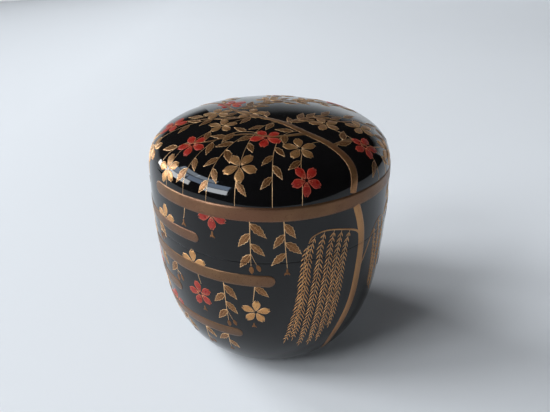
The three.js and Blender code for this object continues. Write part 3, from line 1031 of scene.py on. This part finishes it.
def cut(relief, name, body, keep):
    """Makes the relief's mesh, keeps the part above or below the seam's hairline, and closes the cut."""
    if not relief.n:
        return None
    me = bpy.data.meshes.new(name)
    me.from_pydata([tuple(q) for q in np.concatenate(relief.v) * MM], [], relief.f)
    a = me.attributes.new("tone", "FLOAT", "POINT")
    a.data.foreach_set("value", np.concatenate(relief.t).astype(np.float32))
    me.update()
    bm = bmesh.new()
    bm.from_mesh(me)
    if keep:
        z = (SEAM_Z + (RIM_GAP / 2 + 0.03) * (1 if keep == "above" else -1)) * MM
        geom = bm.verts[:] + bm.edges[:] + bm.faces[:]
        res = bmesh.ops.bisect_plane(bm, geom=geom, dist=1e-8, plane_co=(0, 0, z), plane_no=(0, 0, 1),
                                     clear_outer=keep == "below", clear_inner=keep == "above")
        rim = [e for e in res["geom_cut"] if isinstance(e, bmesh.types.BMEdge) and e.is_boundary]
        if rim:
            bmesh.ops.holes_fill(bm, edges=rim, sides=0)
        close_or_drop(bm)
    if not bm.faces:
        bm.free()
        bpy.data.meshes.remove(me)
        return None
    face_out(bm)
    for fc in bm.faces:
        fc.smooth = True
    bm.to_mesh(me)
    bm.free()
    ob = bpy.data.objects.new(name, me)
    bpy.context.scene.collection.objects.link(ob)
    ob.data.materials.append(relief.mat)
    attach(ob, body)
    return ob


pieces = []
for R in TOP.all():
    pieces.append(cut(R, R.name, "lid", None))
for R in SIDE.all():
    pieces.append(cut(R, R.name.replace("side_", "lid_wall_"), "lid", "above"))
    pieces.append(cut(R, R.name.replace("side_", "body_"), "body", "below"))

# --------------------------------------------------------------------- stage
def stage_mesh(name, verts, faces, mat, smooth=False):
    me = bpy.data.meshes.new(name)
    me.from_pydata(verts, [], faces)
    me.update()
    ob = bpy.data.objects.new(name, me)
    bpy.context.scene.collection.objects.link(ob)
    ob.data.materials.append(mat)
    return ob


m, nt, b = node_mat("floor_paper")
co = add(nt, "ShaderNodeTexCoord")
n1 = noise(nt, co, 3.0, 3, 0.5)
n2 = noise(nt, co, 900.0, 3, 0.6)
sep = add(nt, "ShaderNodeSeparateXYZ")
nt.links.new(co.outputs["Object"], sep.inputs["Vector"])
# Painted shade: the floor paper is darkened more and more towards the far left (-X), standing in for the light falling
# off there.
across = math_node(nt, "MULTIPLY", sep.outputs["X"], -1.0 / 1.4)
shade = ramp(nt, across, [(0.12, 1.0), (0.25, 0.84), (0.43, 0.64), (0.72, 0.46), (1.0, 0.38)])
paper = mix_rgb(nt, n1.outputs["Fac"], (0.76, 0.79, 0.83), (0.79, 0.82, 0.86))
nt.links.new(mix_rgb(nt, shade.outputs["Color"], (0.0, 0.0, 0.0), paper), b.inputs["Base Color"])
b.inputs["Roughness"].default_value = 0.85
b.inputs["Specular IOR Level"].default_value = 0.0
bp = add(nt, "ShaderNodeBump")
bp.inputs["Strength"].default_value = 0.08
bp.inputs["Distance"].default_value = 0.0001
nt.links.new(n2.outputs["Fac"], bp.inputs["Height"])
nt.links.new(bp.outputs["Normal"], b.inputs["Normal"])
FR, NEAR, FAR_LEFT, SIDE_Y = 1.35, 0.26, 0.36, 0.20
floor = stage_mesh("floor", [(-FAR_LEFT, -NEAR, 0), (FR, -NEAR, 0), (FR, FR, 0), (-FAR_LEFT, FR, 0), (-FAR_LEFT, SIDE_Y, 0), (-FR, SIDE_Y, 0), (-FR, FR, 0)],
                   [(0, 1, 2, 3, 4), (5, 4, 3, 6)], m)
floor_left = stage_mesh("floor_left", [(-FR, -NEAR, 0), (-FAR_LEFT, -NEAR, 0), (-FAR_LEFT, SIDE_Y, 0), (-FR, SIDE_Y, 0)], [(0, 1, 2, 3)], m)
floor_left.visible_glossy = False
floor_front = stage_mesh("floor_front", [(-FR, -FR, 0), (FR, -FR, 0), (FR, -NEAR, 0), (-FR, -NEAR, 0)], [(0, 1, 2, 3)], m)
floor_front.visible_glossy = False

m, nt, b = node_mat("backdrop_paper")
co = add(nt, "ShaderNodeTexCoord")
n1 = noise(nt, co, 2.0, 2, 0.5)
nt.links.new(mix_rgb(nt, n1.outputs["Fac"], (0.72, 0.73, 0.74), (0.76, 0.77, 0.78)), b.inputs["Base Color"])
b.inputs["Roughness"].default_value = 0.9
b.inputs["Specular IOR Level"].default_value = 0.0
b.inputs["Emission Color"].default_value = (0.84, 0.87, 0.90, 1)
b.inputs["Emission Strength"].default_value = 0.08


def fading(name, z0, z1):
    """Backdrop paper with painted shade: its colour and its glow fall to near black between two heights."""
    m, nt, b = node_mat(name)
    co = add(nt, "ShaderNodeTexCoord")
    xyz = add(nt, "ShaderNodeSeparateXYZ")
    nt.links.new(co.outputs["Object"], xyz.inputs["Vector"])
    drift = noise(nt, co, 2.5, 2, 0.5)
    h = math_node(nt, "ADD", xyz.outputs["Z"], math_node(nt, "MULTIPLY", math_node(nt, "SUBTRACT", drift.outputs["Fac"], 0.5), 0.10))
    k = ramp(nt, h, [(z0, 1.0), (z1, 0.0)])
    nt.links.new(mix_rgb(nt, k.outputs["Color"], (0.012, 0.012, 0.012), (0.76, 0.78, 0.79)), b.inputs["Base Color"])
    nt.links.new(math_node(nt, "MULTIPLY", k.outputs["Color"], 0.22), b.inputs["Emission Strength"])
    b.inputs["Emission Color"].default_value = (0.84, 0.87, 0.90, 1)
    b.inputs["Roughness"].default_value = 0.9
    return name


def backdrop(name, az0, az1, height, r=1.35, mat="backdrop_paper", cove=0.25):
    """A curved wall that meets the floor in a cove."""
    n = max(24, int(abs(az1 - az0) / 3))
    a = [math.radians(az0 + (az1 - az0) * i / n) for i in range(n + 1)]
    rise = [(r - cove + cove * math.sin(t), cove - cove * math.cos(t)) for t in np.linspace(0, math.pi / 2, 9)] + [(r, height)]
    vs = [(q * math.sin(t), -q * math.cos(t), z + 0.0005) for q, z in rise for t in a]
    w = n + 1
    fs = [(j * w + i, j * w + i + 1, (j + 1) * w + i + 1, (j + 1) * w + i) for j in range(len(rise) - 1) for i in range(n)]
    ob = stage_mesh(name, vs, fs, bpy.data.materials[mat])
    ob.data.polygons.foreach_set("use_smooth", [True] * len(ob.data.polygons))
    return ob


backdrop("backdrop", -180, 180, 0.45).visible_glossy = False
# above it, a paler upper ring that only the camera sees, so that low views have paper behind them
m, nt, b = node_mat("backdrop_upper_paper")
co = add(nt, "ShaderNodeTexCoord")
n1 = noise(nt, co, 2.0, 2, 0.5)
nt.links.new(mix_rgb(nt, n1.outputs["Fac"], (0.10, 0.105, 0.11), (0.13, 0.135, 0.14)), b.inputs["Base Color"])
b.inputs["Roughness"].default_value = 0.9
b.inputs["Specular IOR Level"].default_value = 0.0
b.inputs["Emission Color"].default_value = (0.55, 0.575, 0.60, 1)
b.inputs["Emission Strength"].default_value = 1.0
RING = 96
vs = [(q * math.sin(i * TAU / RING), -q * math.cos(i * TAU / RING), z) for q, z in ((1.352, 0.40), (1.352, 1.6), (0.9, 2.3), (0.02, 2.4)) for i in range(RING)]
upper = stage_mesh("backdrop_upper", vs, [(j * RING + i, j * RING + (i + 1) % RING, (j + 1) * RING + (i + 1) % RING, (j + 1) * RING + i) for j in range(3) for i in range(RING)], m, True)
upper.visible_glossy = upper.visible_diffuse = upper.visible_shadow = upper.visible_transmission = False
# Strips seen only in reflections; their paper carries painted shade that turns them near black above a set height.
for ob in (backdrop("backdrop_seen_in_gloss_right", 124, 192, 0.56, r=1.34, mat=fading("backdrop_fade_high", 0.26, 0.54)),
           backdrop("backdrop_seen_in_gloss_left", 192, 260, 0.45, r=1.34, mat=fading("backdrop_fade_low", 0.16, 0.31))):
    ob.visible_camera = ob.visible_diffuse = ob.visible_shadow = ob.visible_transmission = False


def direction(az, el):
    a, e = math.radians(az), math.radians(el)
    return Vector((math.sin(a) * math.cos(e), -math.cos(a) * math.cos(e), math.sin(e)))


def area(name, az, el, dist, sx, sy, power, colour, glossy=True, aim=(0, 0, 0.035)):
    d = bpy.data.lights.new(name, "AREA")
    d.shape = "RECTANGLE"
    d.size, d.size_y, d.energy, d.color = sx, sy, power, colour
    ob = bpy.data.objects.new(name, d)
    bpy.context.scene.collection.objects.link(ob)
    p = direction(az, el) * dist + Vector(aim)
    ob.location = p
    ob.rotation_euler = (Vector(aim) - p).to_track_quat("-Z", "Y").to_euler()
    ob.visible_glossy = glossy
    return ob


# window seen in the lid's shoulder, front left
for name, az, el, sx, sy, radiance, colour in (
        ("window_low_right", -48.5, 9.5, 0.34, 0.165, 14.0, (0.90, 0.95, 1.0)), ("window_low_left", -92.5, 9.5, 0.54, 0.165, 12.0, (0.94, 0.97, 1.0)),
        ("window_high_right", -48.5, 22.0, 0.34, 0.170, 6.5, (0.58, 0.74, 1.0)), ("window_high_mid", -71, 22.0, 0.27, 0.170, 5.5, (0.58, 0.74, 1.0)),
        ("window_high_left", -96, 22.0, 0.40, 0.170, 5.5, (0.66, 0.80, 1.0)), ("window_top_right", -64, 33.5, 0.29, 0.125, 6.5, (0.74, 0.86, 1.0)),
        ("window_top_left", -87, 33.5, 0.32, 0.125, 6.0, (0.76, 0.87, 1.0)), ("window_edge", -117, 6.0, 0.10, 0.14, 12.0, (1.0, 0.97, 0.92))):
    ob = area(name, az, el, 0.85, sx, sy, radiance * math.pi * sx * sy, colour)
    ob.visible_diffuse = ob.visible_camera = False
# wide, low daylight from the left, with a weaker layer higher up; seen only as light, not as a reflection
for name, az, el, size, power in (("key_back", -120, 30, 0.85, 29.5), ("key_side", -90, 30, 0.85, 29.0), ("key_front", -60, 30, 0.85, 25.0),
                                  ("upper_side", -82, 49, 0.95, 18.5), ("upper_front", -60, 66, 0.95, 5.5)):
    ob = area(name, az, el, 2.6, size, size, power, (0.955, 0.98, 1.0), glossy=False, aim=(0, 0, 0.03))
    ob.visible_camera = False

w = bpy.data.worlds.new("room")
bpy.context.scene.world = w
w.use_nodes = True
bg = w.node_tree.nodes["Background"]
bg.inputs["Color"].default_value = (1.0, 0.92, 0.84, 1)
bg.inputs["Strength"].default_value = 0.014

# -------------------------------------------------------------------- camera
cd = bpy.data.cameras.new("camera")
cam = bpy.data.objects.new("camera", cd)
bpy.context.scene.collection.objects.link(cam)
right = Vector((0.99990828, -0.01274701, -0.00457598))
up = Vector((0.01000855, 0.46784199, 0.88375545))
fwd = Vector((0.00912441, 0.8837202, -0.46792666))
cam.matrix_world = Matrix(((right.x, up.x, -fwd.x, 0.0), (right.y, up.y, -fwd.y, -0.129684), (right.z, up.z, -fwd.z, 0.108379), (0, 0, 0, 1)))
cd.sensor_width = 36.0
cd.lens = 503.88 / 550 * 36.0
cd.clip_start = 0.005
cd.clip_end = 20.0
bpy.context.scene.camera = cam
bpy.context.scene.view_settings.view_transform = "Standard"
